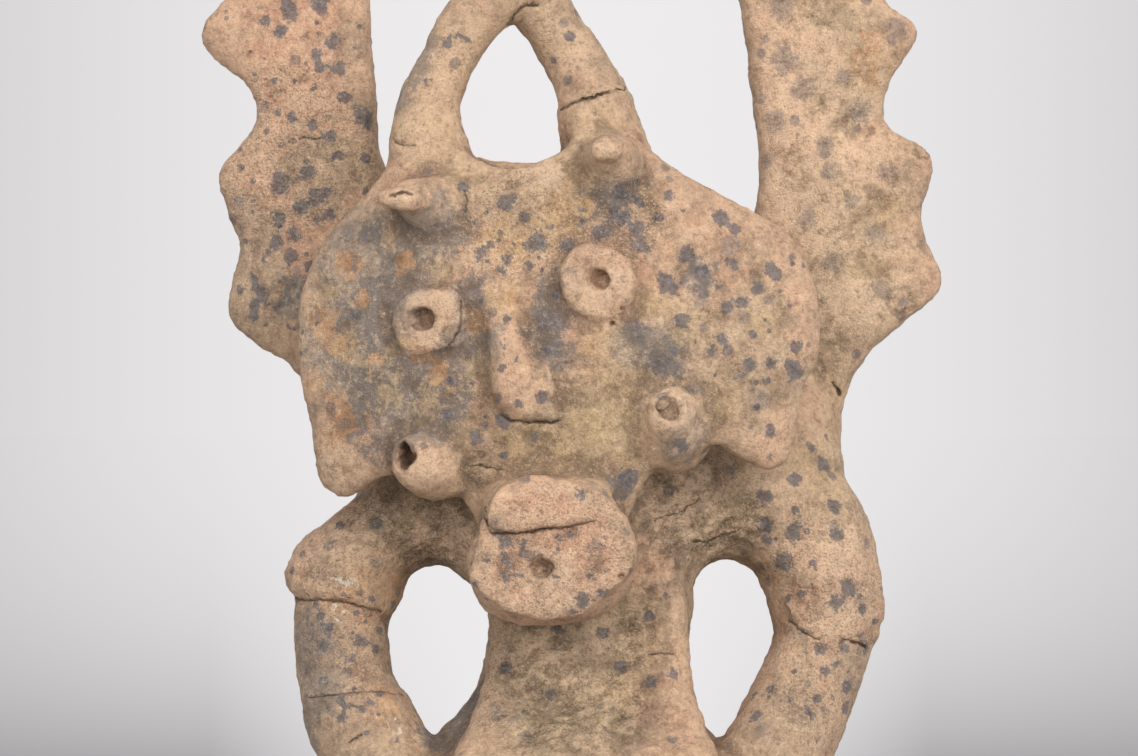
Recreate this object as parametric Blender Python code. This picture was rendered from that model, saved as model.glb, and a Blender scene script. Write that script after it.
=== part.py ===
"""Pottery incense burner: a horned and winged figure, hands down, on a hollow bell-shaped stand.

Metres, +Z up. The figure faces -Y, its own right hand is at -X, and the origin is the centre of
the foot ring on the ground. The real thing is built by hand from coils, slabs and pressed-on
pellets of one clay and fired as one piece, so all its forms are fused into one solid. The hollow,
the smoke hole and the punched holes are cut last.

The figure's own forms are given in millimetres from the stand's axis and from the stand's top.
"""

import math

import bmesh
import bpy
from mathutils import Matrix, Vector

CARVING_UNIT = 0.001

# Stand and torso
FOOT_RADIUS = 0.105
FOOT_RING_HEIGHT = 0.014
STAND_HEIGHT = 0.150
WALL = 0.010
WAIST_HALF_WIDTH = 0.041
WAIST_HALF_DEPTH = 0.031
SHAFT_TOP = 0.072
SMOKE_HOLE_RADIUS = 0.012
SMOKE_HOLE_HEIGHT = 0.050

# Wings
WING_SPREAD = 0.302
WING_THICKNESS = 0.020
WING_TOP = 0.384

# Head
HEAD_THICKNESS = 0.028
HEAD_RIM_THICKNESS = 0.013

# Coils
HORN_RADIUS = 0.0125
ARM_RADIUS = 0.0195
ELBOW_LAP = 0.0045

# Punched holes
EYE_HOLE_RADIUS = 0.0046
EYE_HOLE_DEPTH = 0.006
KNOB_HOLE_RADIUS = 0.0044
RIGHT_KNOB_HOLE_DEPTH = 0.013
LEFT_KNOB_HOLE_DEPTH = 0.004
CHIN_HOLE_RADIUS = 0.0044
CHIN_HOLE_DEPTH = 0.005

# How far hand-pressed forms are from an ellipse, at 2, towards a rectangle
PRESSED_FLAT = 2.6
PRESSED_ROUND = 2.2

# How finely the fused clay is kept
CLAY_GRAIN = 0.0026
KEPT_TRIANGLES = 8000


def clear_scene():
    for old in list(bpy.data.objects):
        bpy.data.objects.remove(old)


def clay_material():
    clay = bpy.data.materials.new("fired_clay")
    clay.use_nodes = True
    shader = clay.node_tree.nodes["Principled BSDF"]
    shader.inputs["Base Color"].default_value = (0.46, 0.31, 0.19, 1.0)
    shader.inputs["Roughness"].default_value = 0.82
    shader.inputs["Metallic"].default_value = 0.0
    return clay


def on_figure(x, y, z):
    """A place on the figure in metres, from its millimetres above the stand's top."""
    return Vector((x, y, z)) * CARVING_UNIT + Vector((0, 0, STAND_HEIGHT))


def curve_through(points, steps, closed=False):
    """Points along a Catmull-Rom curve through tuples of any one length."""
    rows = [Vector(p) for p in points]
    if closed:
        rows = [rows[-1], *rows, rows[0], rows[1]]
    else:
        rows = [rows[0] * 2 - rows[1], *rows, rows[-1] * 2 - rows[-2]]
    made = []
    for a, b, c, d in zip(rows, rows[1:], rows[2:], rows[3:]):
        for step in range(steps):
            t = step / steps
            made.append(0.5 * (
                2 * b + (c - a) * t + (2 * a - 5 * b + 4 * c - d) * t ** 2
                + (3 * b - a - 3 * c + d) * t ** 3
            ))
    if not closed:
        made.append(rows[-2])
    return made


def loft(rings):
    """A closed body through rings of equally many points, fanned shut at both ends."""
    body = bmesh.new()
    rows = [[body.verts.new(p) for p in ring] for ring in rings]
    count = len(rows[0])
    for lower, upper in zip(rows, rows[1:]):
        for i in range(count):
            j = (i + 1) % count
            body.faces.new((lower[i], lower[j], upper[j], upper[i]))
    for row in (rows[0], rows[-1]):
        middle = body.verts.new(sum((v.co for v in row), Vector()) / count)
        for i in range(count):
            body.faces.new((row[i], row[(i + 1) % count], middle))
    bmesh.ops.recalc_face_normals(body, faces=body.faces)
    if body.calc_volume(signed=True) < 0:
        bmesh.ops.reverse_faces(body, faces=body.faces)
    return body


def oval(half_width, half_height, squareness, points):
    """Points round an ellipse, or with a squareness above 2 towards a rectangle."""
    made = []
    for k in range(points):
        turn = math.tau * k / points
        c, s = math.cos(turn), math.sin(turn)
        made.append((
            math.copysign(abs(c) ** (2 / squareness), c) * half_width,
            math.copysign(abs(s) ** (2 / squareness), s) * half_height,
        ))
    return made


def coil(stations, steps=5, points=16, lapped=False):
    """A round-ended roll of clay through (x, y, z, radius) stations, its far end blunt where it laps another."""
    line = curve_through(stations, steps)
    spots = [on_figure(*row[:3]) for row in line]
    radii = [row[3] * CARVING_UNIT for row in line]
    last = len(line) - 1
    start_cap = ((-0.75, 0.45), (-0.45, 0.80))
    end_cap = ((0.14, 0.88), (0.20, 0.50)) if lapped else ((0.45, 0.80), (0.75, 0.45))
    rings = []
    for i, (spot, radius) in enumerate(zip(spots, radii)):
        along = (spots[min(i + 1, last)] - spots[max(i - 1, 0)]).normalized()
        guide = Vector((0, 0, 1)) if abs(along.y) > 0.75 else Vector((0, 1, 0))
        side = along.cross(guide).normalized()
        up = side.cross(along)
        slices = [(0.0, 1.0)]
        if i == 0:
            slices = [*start_cap, *slices]
        if i == last:
            slices = [*slices, *end_cap]
        for shift, share in slices:
            middle = spot + along * shift * radius
            rings.append([
                middle + side * a + up * b for a, b in oval(radius * share, radius * share, 2.0, points)
            ])
    return loft(rings)


def stand_sections(inset, top):
    """Level sections of the bell-shaped stand and the torso on it, drawn in by an inset for the hollow."""
    bell = (
        (-0.40 * FOOT_RING_HEIGHT, 1.00), (0.55 * FOOT_RING_HEIGHT, 1.00),
        (FOOT_RING_HEIGHT, 0.985), (FOOT_RING_HEIGHT * 1.7, 0.955), (0.42 * STAND_HEIGHT, 0.945),
        (0.70 * STAND_HEIGHT, 0.915), (0.86 * STAND_HEIGHT, 0.860), (0.98 * STAND_HEIGHT, 0.765),
    )
    sections = [
        (0.0, 0.0, height, FOOT_RADIUS * share, FOOT_RADIUS * share, 2.0) for height, share in bell
    ]
    # Above the stand: height in millimetres, middle across, and shares of the waist's half sizes
    torso = (
        (10, 1, 1.70, 2.05, 2.0), (22, 2, 1.42, 1.50, 2.1), (34, 4, 1.17, 1.18, 2.3),
        (50, 7, 1.00, 1.00, 2.6), (75, 8, 1.00, 1.00, 2.8), (104, 4, 1.10, 1.00, 2.6),
    )
    for z, x, wide, deep, squareness in torso:
        place = on_figure(x, 2, z)
        sections.append((*place, WAIST_HALF_WIDTH * wide, WAIST_HALF_DEPTH * deep, squareness))
    rows = curve_through(sections, 2)
    below = [row for row in rows if row[2] < top]
    above = [row for row in rows if row[2] >= top]
    if above:
        share = (top - below[-1][2]) / (above[0][2] - below[-1][2])
        below.append(below[-1].lerp(above[0], share))
    return [
        [
            Vector((x + a, y + b, height))
            for a, b in oval(half_width - inset, half_depth - inset, squareness, 28)
        ]
        for x, y, height, half_width, half_depth, squareness in below
    ]


def upright_loft(rows, squareness, points=24, steps=3):
    """A body through level sections: (z, middle x, half width, middle y, half depth) in millimetres."""
    rings = []
    for z, x, half_width, y, half_depth in curve_through(rows, steps):
        rings.append([
            on_figure(x + a, y + b, z) for a, b in oval(half_width, half_depth, squareness, points)
        ])
    return loft(rings)


def belly():
    """The slab pressed down the torso's front, whose edge stands out as a ridge on the figure's right."""
    rows = (
        (-22, 4, 50, -70, 12), (0, 5, 55, -58, 12), (18, 6, 53, -44, 12), (30, 7, 47, -33, 11),
        (44, 7, 43, -25, 10), (62, 8, 40, -22, 9), (90, 6, 38, -22, 9),
    )
    return upright_loft(rows, 3.4)


def navel():
    """A flat round boss on the belly."""
    return pad((4, 18), 16, 15, -63, 16, PRESSED_ROUND, lean=0.80)


def neck_and_back():
    """The thick clay behind the face, which carries the head, the wings and the shoulders."""
    rows = (
        (84, 4, 44, 2, 30), (104, 2, 62, 3, 30), (130, 0, 74, 4, 32), (165, -4, 70, 2, 34),
        (205, -8, 66, 1, 32), (235, -16, 56, -4, 26), (252, -20, 44, -10, 18),
    )
    return upright_loft(rows, PRESSED_ROUND)


def table_value(table, height):
    """Reads a (height, value) table, highest row first, in straight runs."""
    if height >= table[0][0]:
        return table[0][1]
    for (high, above), (low, below) in zip(table, table[1:]):
        if height >= low:
            return below + (above - below) * (height - low) / (high - low)
    return table[-1][1]


# Wing edges as (height, across) in the figure's millimetres, highest first: the spikes point outwards,
# and the longest ones measure the drawn spread from tip to tip
DRAWN_SPREAD = 302
RIGHT_WING_OUTER = (
    (384, -104), (376, -118), (360, -134), (352, -137), (346, -135), (330, -125), (320, -138),
    (306, -150), (301, -150), (282, -129), (272, -126), (261, -134), (252, -143), (245, -144),
    (232, -138), (221, -133), (213, -134), (200, -139), (191, -139), (182, -131), (172, -114),
    (155, -98), (130, -88), (104, -84),
)
RIGHT_WING_INNER = (
    (384, -96), (374, -84), (350, -79), (290, -79), (258, -76), (230, -66), (180, -52), (104, -40),
)
LEFT_WING_OUTER = (
    (384, 104), (376, 118), (354, 140), (346, 141), (328, 127), (320, 126), (311, 141), (306, 143),
    (300, 140), (285, 128), (270, 126), (266, 130), (261, 145), (254, 149), (248, 148), (236, 141),
    (228, 143), (208, 152), (201, 151), (190, 138), (177, 122), (164, 115), (155, 112), (140, 111),
    (124, 112), (104, 106),
)
LEFT_WING_INNER = (
    (384, 92), (374, 78), (350, 68), (320, 68), (300, 72), (276, 75), (254, 77), (236, 76),
    (200, 62), (160, 52), (104, 44),
)
WING_FOOT = 104
WING_DEPTH_PLACE = 24


def wing(outer, inner):
    """A slab between two edges, a little thicker on its rolled inner edge and thin at its spikes."""
    top = WING_TOP / CARVING_UNIT
    slices = 72
    rings = []
    for i in range(slices + 1):
        share = i / slices
        height = WING_FOOT + (top - WING_FOOT) * share
        drawn = WING_FOOT + (outer[0][0] - WING_FOOT) * share
        tip = table_value(outer, drawn) * WING_SPREAD / CARVING_UNIT / DRAWN_SPREAD
        edges = tip, table_value(inner, drawn)
        middle = sum(edges) / 2
        half = (edges[0] - edges[1]) / 2
        closing = min(1.0, 0.2 + (outer[0][0] - drawn) / 14, 0.2 + (drawn - WING_FOOT) / 45)
        ring = []
        for a, b in oval(1.0, 1.0, 3.0, 24):
            thickness = WING_THICKNESS / 2 / CARVING_UNIT * (1.0 - 0.18 * a) * closing
            ring.append(on_figure(middle + half * a, WING_DEPTH_PLACE + thickness * b, height))
        rings.append(ring)
    return loft(rings)


# The middle of the face, and how it bulges to the nose, is turned, and leans back at the crown
FACE_MIDDLE = (-15, 190)
FACE_FORWARD = -60
FACE_BULGE = 22
FACE_TURN = 0.10
CROWN_LEAN = 17
CROWN_RISE = 65
CHEEK_LEAN = 5


def face_front(x, z):
    """The place of the face's surface along Y, in millimetres."""
    across = x - FACE_MIDDLE[0]
    above = (z - FACE_MIDDLE[1]) / CROWN_RISE
    lean = CROWN_LEAN if above > 0 else CHEEK_LEAN
    return FACE_FORWARD + FACE_BULGE * (across / 100) ** 2 - FACE_TURN * across + lean * above ** 2


# The shield's outline, from the figure's right horn down its right cheek and round: (across, height)
HEAD_OUTLINE = (
    (-66, 254), (-78, 245), (-91, 229), (-104, 214), (-109, 196), (-108, 172), (-105, 150),
    (-102, 128), (-97, 120), (-89, 117), (-81, 121), (-72, 129), (-58, 129), (-43, 122), (-34, 106),
    (-18, 100), (6, 101), (22, 110), (33, 128), (44, 138), (56, 142), (68, 134), (78, 129), (86, 131),
    (90, 138), (92, 152), (94, 163), (100, 174), (101, 190), (97, 206), (90, 220), (79, 231),
    (66, 238), (50, 245), (38, 254), (24, 264), (8, 264), (-4, 257), (-14, 252), (-26, 250),
    (-36, 254), (-52, 260),
)
HEAD_CENTRE = (-4, 190)


def head():
    """The shield-shaped face, thick in the middle and thin at its rim, with two hanging lobes."""
    outline = curve_through(HEAD_OUTLINE, 2, closed=True)
    centre = Vector(HEAD_CENTRE)
    thick = HEAD_THICKNESS / CARVING_UNIT
    rim = HEAD_RIM_THICKNESS / CARVING_UNIT

    def ring(share, back):
        made = []
        for spot in outline:
            x, z = centre + (spot - centre) * share
            depth = thick + (rim - thick) * share ** 2
            made.append(on_figure(x, face_front(x, z) + depth * back, z))
        return made

    # Each ring's share of the outline, and how far its edge is rounded off
    rounded = ((0.20, 0.0), (0.42, 0.0), (0.62, 0.0), (0.80, 0.0), (0.92, 0.04), (0.975, 0.20))
    rings = [ring(share, back) for share, back in rounded]
    rings.append(ring(1.0, 0.5))
    rings += [ring(share, 1 - back) for share, back in reversed(rounded)]
    return loft(rings)


def horns():
    """Two coils that rise from the crown and close into a pointed loop, the right one lapped over."""
    thick = HORN_RADIUS / CARVING_UNIT
    peak = (-19, -14, 342, thick * 0.95)
    right = (
        (-53, -20, 234, thick * 1.36), (-55, -21, 250, thick * 1.34), (-56, -21, 262, thick * 1.22),
        (-56, -19, 272, thick * 1.08), (-53, -18, 283, thick * 0.98), (-48, -18, 294, thick * 0.96),
        (-43, -18, 303, thick * 0.95), (-36, -18, 311, thick * 0.95), (-29, -17, 320, thick * 0.96),
        (-23, -15, 331, thick), peak,
    )
    left = (
        (20, -20, 236, thick * 1.45), (16, -19, 253, thick * 1.46), (12, -17, 267, thick * 1.32),
        (9, -13, 278, thick * 1.16), (5, -10, 288, thick * 1.02), (0, -8, 297, thick * 0.97),
        (-5, -8, 305, thick * 0.96), (-11, -9, 315, thick), (-15, -11, 328, thick), peak,
    )
    collar = ((12, -16, 268, thick * 1.45), (10, -14, 276, thick * 1.30), (8, -12, 281, thick * 1.14))
    return [coil(right), coil(left), coil(collar, steps=2, lapped=True)]


def arms():
    """Thick coils from the shoulders to the stand; each forearm is lapped under its upper arm."""
    thick = ARM_RADIUS / CARVING_UNIT
    lap = ELBOW_LAP / CARVING_UNIT
    right_upper = (
        (-14, 0, 106, thick * 1.15), (-44, 4, 112, thick * 1.06), (-64, 6, 109, thick * 1.02),
        (-78, 6, 100, thick * 1.03), (-87, 5, 89, thick + lap), (-89, 5, 85, thick + lap * 1.2),
    )
    right_fore = (
        (-87, 5, 92, thick * 0.90), (-91, 4, 78, thick * 0.97), (-91, 1, 62, thick),
        (-89, -3, 44, thick * 0.98), (-83, -9, 28, thick * 1.06), (-74, -17, 13, thick * 1.10),
        (-64, -26, 0, thick * 1.06), (-54, -36, -10, thick * 0.95),
    )
    right_wrist = (
        (-89, -3, 42, thick * 1.02), (-84, -8, 31, thick * 1.14), (-76, -15, 17, thick * 1.14),
    )
    left_upper = (
        (20, 0, 106, thick * 1.10), (48, 4, 114, thick * 1.14), (74, 8, 118, thick * 1.26),
        (92, 8, 108, thick * 1.34), (100, 6, 92, thick + lap * 1.1), (104, 4, 76, thick + lap * 0.9),
        (105, 3, 68, thick + lap * 0.6),
    )
    left_fore = (
        (103, 4, 74, thick * 1.02), (101, 1, 58, thick * 1.02), (95, -4, 43, thick * 1.06),
        (88, -10, 28, thick * 1.10), (79, -18, 13, thick * 1.12), (68, -27, 0, thick * 1.06),
        (57, -37, -10, thick * 0.95),
    )
    left_shoulder = (
        (84, 12, 112, thick * 1.30), (88, 17, 136, thick * 1.16), (88, 21, 160, thick * 0.95),
    )
    right_shoulder = (
        (-60, 10, 112, thick * 1.00), (-70, 16, 136, thick * 0.92), (-74, 20, 160, thick * 0.80),
    )
    lapped = [coil(stations, lapped=True) for stations in (right_upper, right_wrist, left_upper)]
    return lapped + [coil(stations) for stations in (right_fore, left_fore, left_shoulder, right_shoulder)]


def pad(middle, half_width, half_height, front, thickness, squareness, lean=0.0, roll=0.0):
    """A pellet pressed flat; lean brings its lower edge forward and roll turns it, in radians."""
    rings = []
    for share, back in ((0.40, 0.0), (0.74, 0.05), (0.92, 0.20), (1.0, 0.50), (1.0, 1.0)):
        ring = []
        for a, b in oval(half_width * share, half_height * share, squareness, 24):
            x = a * math.cos(roll) - b * math.sin(roll)
            z = a * math.sin(roll) + b * math.cos(roll)
            ring.append(on_figure(middle[0] + x, front + thickness * back + lean * z, middle[1] + z))
        rings.append(ring)
    return loft(rings)


# Each eye's middle on the face, its half width and height, and its punch: (across, height)
EYES = (
    ((-55, 190), 13.0, 10.8, (-57, 190)),
    ((11, 205), 14.5, 14.8, (12, 205)),
)
EYE_RELIEF = 5.0


def eyes():
    made = []
    for (x, z), half_width, half_height, _ in EYES:
        front = face_front(x, z) - EYE_RELIEF
        made.append(pad(
            (x, z), half_width, half_height, front, EYE_RELIEF + 7, PRESSED_ROUND, roll=0.20,
        ))
    return made


# Each knob: its root on the face and its end (across, height), how far it stands out, and its two radii
KNOBS = (
    ((-50, 234), (-66, 239), 17, 13.5, 7.0),
    ((17, 249), (15, 256), 18, 14.5, 7.0),
    ((-53, 131), (-61, 135), 10, 14.0, 11.0),
    ((40, 147), (39, 152), 9, 17.0, 10.5),
)


# Where along its axis a knob's rounded end starts, and how high that end is in radii
KNOB_NECK = 0.90
KNOB_CROWN = 0.75


def knob_axis(knob):
    (root_x, root_z), (end_x, end_z), reach, _, _ = knob
    root = Vector((root_x, face_front(root_x, root_z) + 5, root_z))
    end = Vector((end_x, face_front(end_x, end_z) - reach, end_z))
    return root, end


def knobs():
    made = []
    for knob in KNOBS:
        root, end = knob_axis(knob)
        wide, narrow = knob[3:]
        made.append(coil([
            (*root.lerp(end, share), wide + (narrow - wide) * share) for share in (0.0, 0.45, KNOB_NECK)
        ], steps=2, points=14))
    return made


def nose():
    """A crooked ridge that widens and stands out to its lower end, steep on the figure's right."""
    # Height, middle, half width, how far it stands out
    rows = (
        (206, -30, 4.0, 3.0), (196, -27, 6.0, 6.5), (184, -23, 7.0, 8.5), (170, -20, 8.0, 10.5),
        (158, -17, 8.5, 12.5), (152, -15, 9.0, 13.0), (149, -14, 7.5, 9.0),
    )
    rings = []
    for z, x, half_width, reach in curve_through(rows, 2):
        surface = face_front(x, z)
        ring = []
        for a, b in oval(half_width, reach, 1.8, 14):
            slope = 0.30 * half_width * max(0.0, b / reach)
            ring.append(on_figure(x + a + slope, surface + 3 + min(b, 4), z))
        rings.append(ring)
    return loft(rings)


LIP_FRONT = -73
CHIN = (-7, 93)
CHIN_FRONT = -72


def mouth():
    """A short muzzle, the pressed-on upper lip, and the tongue-shaped lower jaw beneath it."""
    muzzle = coil((
        (2, -8, 100, 26), (-4, -28, 104, 26), (-8, -42, 106, 24),
    ), steps=3)
    lip = pad((-8, 119), 26, 9.5, LIP_FRONT, 28, PRESSED_FLAT, lean=-0.20, roll=0.07)
    jaw = pad(CHIN, 33.5, 23, CHIN_FRONT, 26, PRESSED_FLAT, lean=0.05, roll=0.14)
    return [muzzle, lip, jaw]


def punch(name, place, direction, radius, depth):
    """A blunt tapered cutter set half its length into the clay."""
    body = bmesh.new()
    bmesh.ops.create_cone(
        body, cap_ends=True, segments=12, radius1=radius * 0.65, radius2=radius * 1.30,
        depth=depth * 2,
        matrix=Matrix.Translation(place) @ direction.to_track_quat("Z", "Y").to_matrix().to_4x4(),
    )
    return cutter(name, body)


def cutter(name, body):
    made = bpy.data.objects.new(name, bpy.data.meshes.new(name))
    body.to_mesh(made.data)
    body.free()
    made.hide_render = True
    made.display_type = "WIRE"
    bpy.context.scene.collection.objects.link(made)
    return made


def punches():
    made = []
    outwards = Vector((-0.12, -1.0, 0.05)).normalized()
    for i, (_, _, _, (x, z)) in enumerate(EYES):
        place = on_figure(x, face_front(x, z) - EYE_RELIEF, z)
        made.append(punch(f"eye_punch_{i}", place, outwards, EYE_HOLE_RADIUS, EYE_HOLE_DEPTH))
    for knob, depth in zip(KNOBS[2:], (RIGHT_KNOB_HOLE_DEPTH, LEFT_KNOB_HOLE_DEPTH)):
        root, end = knob_axis(knob)
        way = (end - root).normalized()
        crown = root.lerp(end, KNOB_NECK) + way * knob[4] * KNOB_CROWN
        made.append(punch("knob_punch", on_figure(*crown), way, KNOB_HOLE_RADIUS, depth))
    place = on_figure(CHIN[0] - 4, CHIN_FRONT, CHIN[1] - 1)
    made.append(punch("chin_punch", place, outwards, CHIN_HOLE_RADIUS, CHIN_HOLE_DEPTH))
    return made


def hollow():
    return cutter("hollow", loft(stand_sections(WALL, STAND_HEIGHT + SHAFT_TOP)))


def smoke_hole():
    """A round hole through the back of the torso into its hollow shaft."""
    body = bmesh.new()
    bmesh.ops.create_cone(
        body, cap_ends=True, segments=20, radius1=SMOKE_HOLE_RADIUS, radius2=SMOKE_HOLE_RADIUS,
        depth=FOOT_RADIUS,
        matrix=Matrix.Translation((
            8 * CARVING_UNIT, FOOT_RADIUS / 2, STAND_HEIGHT + SMOKE_HOLE_HEIGHT,
        )) @ Matrix.Rotation(math.pi / 2, 4, "X"),
    )
    return cutter("smoke_hole", body)


def ground():
    """Everything below the ground, to cut the foot ring flat."""
    body = bmesh.new()
    bmesh.ops.create_cube(body, size=1.0, matrix=Matrix.Translation((0, 0, -0.5)))
    return cutter("ground", body)


def evaluated(shape):
    graph = bpy.context.evaluated_depsgraph_get()
    return bpy.data.meshes.new_from_object(shape.evaluated_get(graph))


def fuse(bodies, clay):
    """All bodies under one skin of clay, smoothed where they meet, in a few thousand triangles."""
    together = bmesh.new()
    for body in bodies:
        part = bpy.data.meshes.new("part")
        body.to_mesh(part)
        body.free()
        together.from_mesh(part)
        bpy.data.meshes.remove(part)
    burner = bpy.data.objects.new("incense_burner", bpy.data.meshes.new("incense_burner"))
    together.to_mesh(burner.data)
    together.free()
    bpy.context.scene.collection.objects.link(burner)
    skin = burner.modifiers.new("one skin", "REMESH")
    skin.mode = "VOXEL"
    skin.voxel_size = CLAY_GRAIN
    wiped = burner.modifiers.new("wiped smooth", "SMOOTH")
    wiped.factor = 0.5
    wiped.iterations = 4
    burner.data = evaluated(burner)
    burner.modifiers.clear()
    thinned = burner.modifiers.new("thinned", "DECIMATE")
    thinned.ratio = KEPT_TRIANGLES / (2 * len(burner.data.polygons))
    burner.data = evaluated(burner)
    burner.modifiers.clear()
    burner.data.name = "incense_burner"
    burner.data.materials.clear()
    burner.data.materials.append(clay)
    return burner


def cut(burner, cutters):
    for tool in cutters:
        step = burner.modifiers.new(tool.name, "BOOLEAN")
        step.operation = "DIFFERENCE"
        step.object = tool


clear_scene()
burner = fuse([
    loft(stand_sections(0.0, math.inf)),
    belly(),
    navel(),
    neck_and_back(),
    wing(RIGHT_WING_OUTER, RIGHT_WING_INNER),
    wing(LEFT_WING_OUTER, LEFT_WING_INNER),
    head(),
    nose(),
    *eyes(),
    *knobs(),
    *mouth(),
    *horns(),
    *arms(),
], clay_material())
cut(burner, [hollow(), smoke_hole(), ground(), *punches()])
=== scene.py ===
"""Pottery incense burner: the hand-built clay figure dressed over its solid, on a pale studio floor."""

import math

import bpy
import numpy as np
from mathutils import Matrix, Vector


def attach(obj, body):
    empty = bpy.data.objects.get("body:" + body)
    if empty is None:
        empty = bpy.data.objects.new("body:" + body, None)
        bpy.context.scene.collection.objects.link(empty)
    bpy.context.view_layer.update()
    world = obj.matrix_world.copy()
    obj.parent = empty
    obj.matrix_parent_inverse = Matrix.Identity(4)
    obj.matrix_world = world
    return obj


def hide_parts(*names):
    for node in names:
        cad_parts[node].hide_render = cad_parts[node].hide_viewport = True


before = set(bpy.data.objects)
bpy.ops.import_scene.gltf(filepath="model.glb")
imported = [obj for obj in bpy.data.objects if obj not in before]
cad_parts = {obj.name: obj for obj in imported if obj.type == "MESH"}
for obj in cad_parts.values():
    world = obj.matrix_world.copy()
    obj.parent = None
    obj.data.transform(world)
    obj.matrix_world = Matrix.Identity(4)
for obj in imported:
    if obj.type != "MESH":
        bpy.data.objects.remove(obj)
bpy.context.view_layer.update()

# The camera looks level at the face from 2.4 m, and the frame takes in 0.4 mm of the figure for
# each of its 1138 by 756 pixels.
FRAME_WIDTH, FRAME_HEIGHT = 1138, 756
PIXEL = 0.0004
CAMERA_PLACE = Vector((0.0, -2.4, 0.3168))

camera = bpy.data.objects.new("camera", bpy.data.cameras.new("camera"))
bpy.context.scene.collection.objects.link(camera)
bpy.context.scene.camera = camera
camera.location = CAMERA_PLACE
camera.rotation_euler = (math.pi / 2, 0.0, 0.0)
camera.data.sensor_fit = "HORIZONTAL"
camera.data.sensor_width = 36.0
camera.data.lens = 36.0 * -CAMERA_PLACE.y / (FRAME_WIDTH * PIXEL)


# The clay body. The whole figure is one gritty buff clay, built from coils and slabs on a hollow
# bell-shaped stand and wiped over with wet hands, then fired in one piece.

def pick(piece):
    """Leaves one piece selected and active."""
    bpy.ops.object.select_all(action="DESELECT")
    piece.select_set(True)
    bpy.context.view_layer.objects.active = piece


def edited(piece, **steps):
    """Runs edit-mode operators, each named with its settings, on the whole of a piece."""
    pick(piece)
    bpy.ops.object.mode_set(mode="EDIT")
    bpy.ops.mesh.select_all(action="SELECT")
    for step, settings in steps.items():
        getattr(bpy.ops.mesh, step)(**settings)
    bpy.ops.object.mode_set(mode="OBJECT")
    return piece


def worked(piece, kind, **settings):
    """Works a piece with one modifier and applies it."""
    step = piece.modifiers.new(kind.lower(), kind)
    for name, value in settings.items():
        setattr(step, name, value)
    pick(piece)
    bpy.ops.object.modifier_apply(modifier=step.name)
    return piece


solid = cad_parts["incense_burner"]
clay = bpy.data.objects.new("burner_clay", solid.data.copy())
bpy.context.scene.collection.objects.link(clay)
edited(clay, remove_doubles={"threshold": 0.00001})
worked(clay, "SUBSURF", levels=2, render_levels=2)
worked(clay, "REMESH", mode="VOXEL", voxel_size=0.0018)
worked(clay, "SMOOTH", factor=0.5, iterations=10)


def aim(px, py):
    """The way from the camera through a place in the frame, in pixels from its upper left."""
    across = (px - FRAME_WIDTH / 2) * PIXEL
    up = (FRAME_HEIGHT / 2 - py) * PIXEL
    return Vector((across, -CAMERA_PLACE.y, up)).normalized()


def at_depth(px, py, depth):
    """The place seen there that lies at a depth along Y, in metres."""
    way = aim(px, py)
    return CAMERA_PLACE + way * ((depth - CAMERA_PLACE.y) / way.y)


def seen(px, py):
    """The place on the clay seen there, or the edge nearest to it, and the way the clay faces."""
    bpy.context.view_layer.update()
    found, place, facing, _ = clay.ray_cast(CAMERA_PLACE, aim(px, py))
    if not found:
        _, place, facing, _ = clay.closest_point_on_mesh(at_depth(px, py, 0.0))
    return place, facing


# Pressed-on pellets: eyes, knobs, lip and jaw. Each is a ball of clay flattened under a thumb or a
# short roll stuck on by its root, so its edges stay crisp where the wiping didn't reach.

pressed_on = []


def roll(stations, smooth=True):
    """A worm of clay through (place, radius in millimetres) stations, closed at both ends."""
    line = bpy.data.curves.new("roll", "CURVE")
    line.dimensions = "3D"
    line.bevel_depth = 0.001
    line.bevel_resolution = 4
    line.resolution_u = 6
    line.use_fill_caps = True
    run = line.splines.new("BEZIER" if smooth else "POLY")
    points = run.bezier_points if smooth else run.points
    points.add(len(stations) - 1)
    for point, (place, radius) in zip(points, stations):
        if smooth:
            point.co = place
            point.handle_left_type = point.handle_right_type = "AUTO"
        else:
            point.co = (*place, 1.0)
        point.radius = radius
    made = bpy.data.objects.new("roll", line)
    bpy.context.scene.collection.objects.link(made)
    pick(made)
    bpy.ops.object.convert(target="MESH")
    return edited(
        bpy.context.object, remove_doubles={"threshold": 0.00002}, normals_make_consistent={"inside": False},
    )


def slab(outline, depth, fall, thick, edge, lean=0.0):
    """A flat tongue of clay with the outline seen, its thickness and rounded edge in millimetres.

    Its face lies at a depth, falls back upwards and leans back aside.
    """
    corners = [at_depth(px, py, depth) for px, py in outline]
    places = []
    for i, here in enumerate(corners):
        before = corners[i - 1]
        after, further = (corners[(i + step) % len(corners)] for step in (1, 2))
        for t in (0.0, 0.25, 0.5, 0.75):
            places.append(0.5 * (
                2 * here + (after - before) * t + (2 * before - 5 * here + 4 * after - further) * t ** 2
                + (3 * here - before - 3 * after + further) * t ** 3
            ))
    middle = sum(places, Vector()) / len(places)
    front = [p + Vector((0, (p.z - middle.z) * fall + (p.x - middle.x) * lean, 0)) for p in places]
    back = [p + Vector((0, thick / 1000, 0)) for p in front]
    count = len(places)
    sides = [(i, (i + 1) % count, count + (i + 1) % count, count + i) for i in range(count)]
    ends = [tuple(range(count)), tuple(range(2 * count - 1, count - 1, -1))]
    made = bpy.data.objects.new("slab", bpy.data.meshes.new("slab"))
    made.data.from_pydata(front + back, [], [*ends, *sides])
    bpy.context.scene.collection.objects.link(made)
    edited(made, normals_make_consistent={"inside": False})
    pressed_on.append(
        worked(made, "BEVEL", width=edge / 1000, segments=5, limit_method="ANGLE", angle_limit=1.0)
    )


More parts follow.
